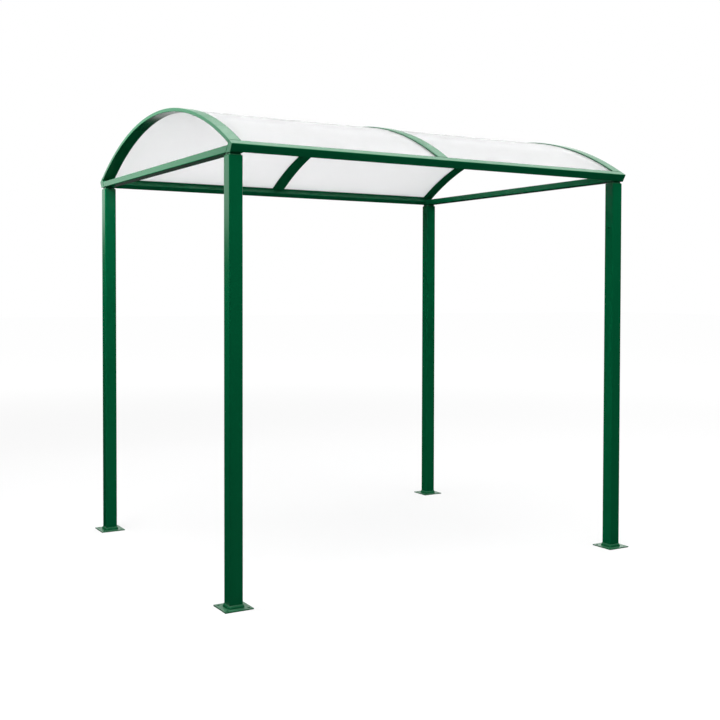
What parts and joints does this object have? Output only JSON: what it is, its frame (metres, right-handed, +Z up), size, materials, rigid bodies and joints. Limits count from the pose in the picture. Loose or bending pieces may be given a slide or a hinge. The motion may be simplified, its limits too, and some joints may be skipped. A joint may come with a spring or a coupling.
{
  "type": "bike shelter",
  "caption": "Open bike shelter: square posts on base plates, a green steel frame and a curved translucent roof.",
  "frame": {"origin": "on the floor at the middle of the four posts", "axes": "+X along the eaves, to the right seen from the front; -Y to the front; +Z up"},
  "size_m": [2.65, 2.13, 2.5617],
  "materials": {
    "green_coat": "satin green powder coat on galvanised steel tube",
    "roof_sheet": "frosted translucent polycarbonate sheet"
  },
  "bodies": {
    "root": {"front_eave_seat": "green_coat", "front_eave_tube": "green_coat", "front_left_base_plate": "green_coat", "front_left_eave_cap": "green_coat", "front_left_eave_saddle": "green_coat", "front_left_foot_weld": "green_coat", "front_left_neck_plate": "green_coat", "front_left_post": "green_coat", "front_left_post_cap": "green_coat", "front_right_base_plate": "green_coat", "front_right_eave_cap": "green_coat", "front_right_eave_saddle": "green_coat", "front_right_foot_weld": "green_coat", "front_right_neck_plate": "green_coat", "front_right_post": "green_coat", "front_right_post_cap": "green_coat", "left_arch": "green_coat", "left_bay_left_seat": "green_coat", "left_bay_right_seat": "green_coat", "left_roof_sheet": "roof_sheet", "left_tie_beam": "green_coat", "middle_arch": "green_coat", "rear_eave_seat": "green_coat", "rear_eave_tube": "green_coat", "rear_left_base_plate": "green_coat", "rear_left_eave_cap": "green_coat", "rear_left_eave_saddle": "green_coat", "rear_left_foot_weld": "green_coat", "rear_left_neck_plate": "green_coat", "rear_left_post": "green_coat", "rear_left_post_cap": "green_coat", "rear_right_base_plate": "green_coat", "rear_right_eave_cap": "green_coat", "rear_right_eave_saddle": "green_coat", "rear_right_foot_weld": "green_coat", "rear_right_neck_plate": "green_coat", "rear_right_post": "green_coat", "rear_right_post_cap": "green_coat", "right_arch": "green_coat", "right_bay_left_seat": "green_coat", "right_bay_right_seat": "green_coat", "right_roof_sheet": "roof_sheet", "right_tie_beam": "green_coat"}
  },
  "joints": []
}
